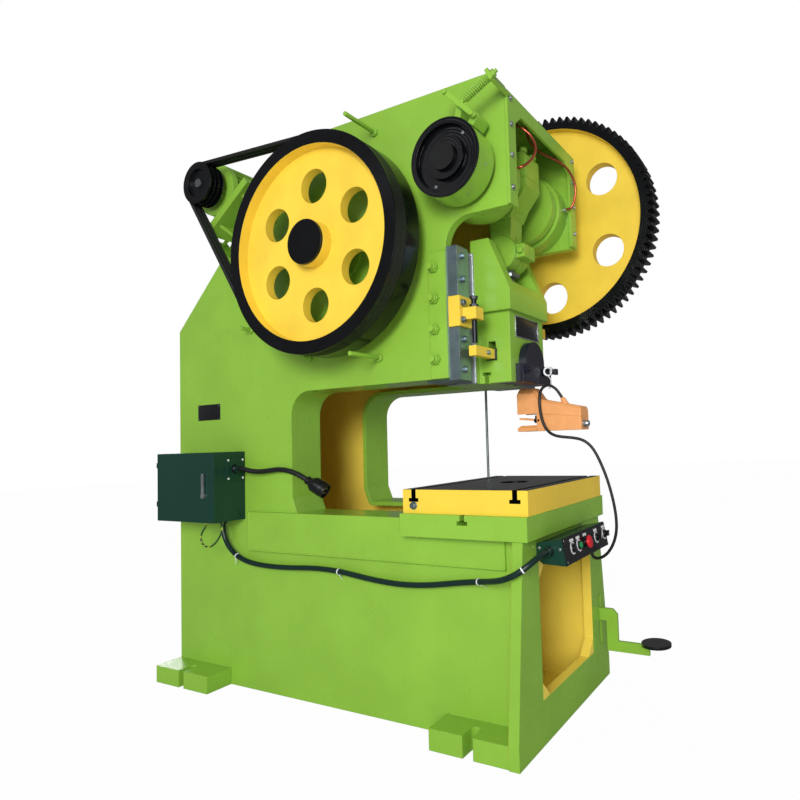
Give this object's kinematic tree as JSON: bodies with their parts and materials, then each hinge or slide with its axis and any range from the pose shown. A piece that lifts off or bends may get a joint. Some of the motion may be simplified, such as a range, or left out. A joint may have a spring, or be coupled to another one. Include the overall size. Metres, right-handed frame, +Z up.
{
  "type": "mechanical stamping press",
  "caption": "Open-throat mechanical stamping press with a side gear, belt-driven flywheel, slotted table, pedal, foot switch and control box.",
  "frame": {"origin": "on the floor, at the centre of the frame's width on the underside of the base plate, 0.7 m behind the ram line", "axes": "+Z up, front towards -Y, +X to the operator's right"},
  "size_m": [1.088, 2.2185, 2.6139],
  "materials": {
    "green_paint": "smooth",
    "dark_green_paint": "smooth",
    "yellow_paint": "smooth",
    "black_paint": "gloss",
    "orange_paint": "smooth",
    "grey_paint": "smooth",
    "machined_steel": "machined",
    "blackened_steel": "oiled",
    "cast_iron": "machined",
    "bronze": "machined",
    "copper": "drawn",
    "chrome": "polished",
    "black_rubber": "matt",
    "cord_sheath": "matt",
    "green_hose": "matt",
    "earth_sheath": "matt",
    "black_plastic": "satin",
    "green_plastic": "satin",
    "red_plastic": "satin",
    "panel_plastic": "smooth",
    "component_plastic": "matt"
  },
  "bodies": {
    "frame": {"side_plate_left": "green_paint", "side_plate_right": "green_paint", "front_plate": "green_paint", "base_plate": "yellow_paint", "rear_plate": "green_paint", "top_plate": "green_paint", "throat_linings": "green_paint", "machine_feet": "green_paint", "table_body": "green_paint", "bolster_plate": "blackened_steel", "frame_bolts": "blackened_steel", "head_cover": "green_paint", "crank_bushes": "bronze", "shaft_bearings": "cast_iron", "gibs": "grey_paint", "adjusting_screws": "blackened_steel", "stop_brackets": "yellow_paint", "motor_base_plate": "green_paint", "motor_bracket": "green_paint", "motor_housing": "green_paint", "v_belts": "black_rubber", "brake_band": "green_paint", "brake_anchor": "green_paint", "brake_spring": "blackened_steel", "cabinet_box": "dark_green_paint", "cabinet_components": "component_plastic", "control_box": "dark_green_paint", "control_panel": "panel_plastic", "oil_pipes": "copper", "power_lead": "cord_sheath", "power_plug": "black_plastic", "conduit": "green_hose", "earth_wire": "earth_sheath"},
    "crankshaft_body": {"crankshaft": "machined_steel", "brake_drum": "black_paint"},
    "con_rod_body": {"con_rod": "green_paint", "con_rod_cap": "green_paint", "rod_bolts": "blackened_steel", "ball_screw": "machined_steel"},
    "slide_body": {"slide": "green_paint", "shank_clamp": "blackened_steel", "foot_switch_base": "orange_paint", "wire_hook": "chrome", "foot_switch_cord": "cord_sheath"},
    "knockout_body": {"knockout_bar": "yellow_paint"},
    "gear_body": {"drive_gear": "yellow_paint"},
    "flywheel_body": {"flywheel": "yellow_paint", "pinion_shaft": "machined_steel"},
    "motor_rotor_body": {"motor_pulley": "black_paint", "motor_rotor": "machined_steel"},
    "pedal_lever_body": {"pedal_lever": "green_paint"},
    "pull_rod_body": {"pull_rod": "machined_steel"},
    "foot_pedal_body": {"foot_switch_pedal": "orange_paint"},
    "button_black_body": {"button_black": "black_plastic"},
    "button_green_body": {"button_green": "green_plastic"},
    "button_red_body": {"button_red": "red_plastic"},
    "selector_left_body": {"selector_left": "black_plastic"},
    "selector_right_body": {"selector_right": "black_plastic"},
    "cabinet_door_body": {"cabinet_door": "dark_green_paint"},
    "cabinet_latch_body": {"cabinet_latch": "chrome"}
  },
  "joints": [
    {"name": "gear_spin", "type": "hinge", "parent": "frame", "child": "gear_body", "pos_m": [0, -0.7, 2.086], "axis": [1, 0, 0], "continuous": true},
    {"name": "flywheel_spin", "type": "hinge", "parent": "frame", "child": "flywheel_body", "pos_m": [0, -0.10363, 1.865], "axis": [1, 0, 0], "continuous": true},
    {"name": "motor_spin", "type": "hinge", "parent": "frame", "child": "motor_rotor_body", "pos_m": [0, 0.548, 2.25], "axis": [1, 0, 0], "continuous": true},
    {"name": "crank_turn", "type": "hinge", "parent": "frame", "child": "crankshaft_body", "pos_m": [0, -0.7, 2.086], "axis": [-1, 0, 0], "range_deg": [0, 180]},
    {"name": "rod_swing", "type": "hinge", "parent": "crankshaft_body", "child": "con_rod_body", "pos_m": [0, -0.7, 2.136], "axis": [-1, 0, 0], "range_deg": [-180, 0]},
    {"name": "slide_stroke", "type": "slide", "parent": "frame", "child": "slide_body", "axis": [0, 0, -1], "range_m": [0, 0.1]},
    {"name": "knockout_lift", "type": "slide", "parent": "slide_body", "child": "knockout_body", "axis": [0, 0, 1], "range_m": [0, 0.011]},
    {"name": "pedal_press", "type": "hinge", "parent": "frame", "child": "pedal_lever_body", "pos_m": [0, -0.3, 0.293], "axis": [1, 0, 0], "range_deg": [0, 4.5], "stiffness_Nm_per_rad": 200, "springref_deg": -17.19},
    {"name": "pull_rod_travel", "type": "slide", "parent": "frame", "child": "pull_rod_body", "axis": [0, 0, -1], "range_m": [0, 0.0063]},
    {"name": "foot_switch_press", "type": "hinge", "parent": "slide_body", "child": "foot_pedal_body", "pos_m": [0, -0.797, 1.15], "axis": [-1, 0, 0], "range_deg": [0, 10], "stiffness_Nm_per_rad": 2, "springref_deg": -17.19},
    {"name": "button_black_press", "type": "slide", "parent": "frame", "child": "button_black_body", "axis": [0, 0.9822, -0.1881], "range_m": [0, 0.004], "stiffness_N_per_m": 800, "springref_m": -0.002},
    {"name": "button_green_press", "type": "slide", "parent": "frame", "child": "button_green_body", "axis": [0, 0.9822, -0.1881], "range_m": [0, 0.004], "stiffness_N_per_m": 800, "springref_m": -0.002},
    {"name": "button_red_press", "type": "slide", "parent": "frame", "child": "button_red_body", "axis": [0, 0.9822, -0.1881], "range_m": [0, 0.004], "stiffness_N_per_m": 800, "springref_m": -0.002},
    {"name": "selector_left_turn", "type": "hinge", "parent": "frame", "child": "selector_left_body", "pos_m": [0.055, -1.02362, 0.67996], "axis": [0, -0.9822, 0.1881], "range_deg": [-45, 45]},
    {"name": "selector_right_turn", "type": "hinge", "parent": "frame", "child": "selector_right_body", "pos_m": [0.145, -1.02362, 0.67996], "axis": [0, -0.9822, 0.1881], "range_deg": [-45, 45]},
    {"name": "cabinet_door_swing", "type": "hinge", "parent": "frame", "child": "cabinet_door_body", "pos_m": [-0.4655, 0.929, 0.9], "axis": [0, 0, -1], "range_deg": [0, 110]},
    {"name": "cabinet_latch_turn", "type": "hinge", "parent": "cabinet_door_body", "child": "cabinet_latch_body", "pos_m": [-0.48, 0.588, 0.872], "axis": [1, 0, 0], "range_deg": [0, 90]}
  ],
  "couplings": [
    {"joint": "flywheel_spin", "follows": "gear_spin", "ratio": -4.3},
    {"joint": "motor_spin", "follows": "gear_spin", "ratio": -21.401},
    {"joint": "rod_swing", "follows": "crank_turn", "ratio": -1},
    {"joint": "slide_stroke", "follows": "crank_turn", "m_per_rad": 0.031831},
    {"joint": "pull_rod_travel", "follows": "pedal_press", "m_per_rad": 0.08}
  ]
}
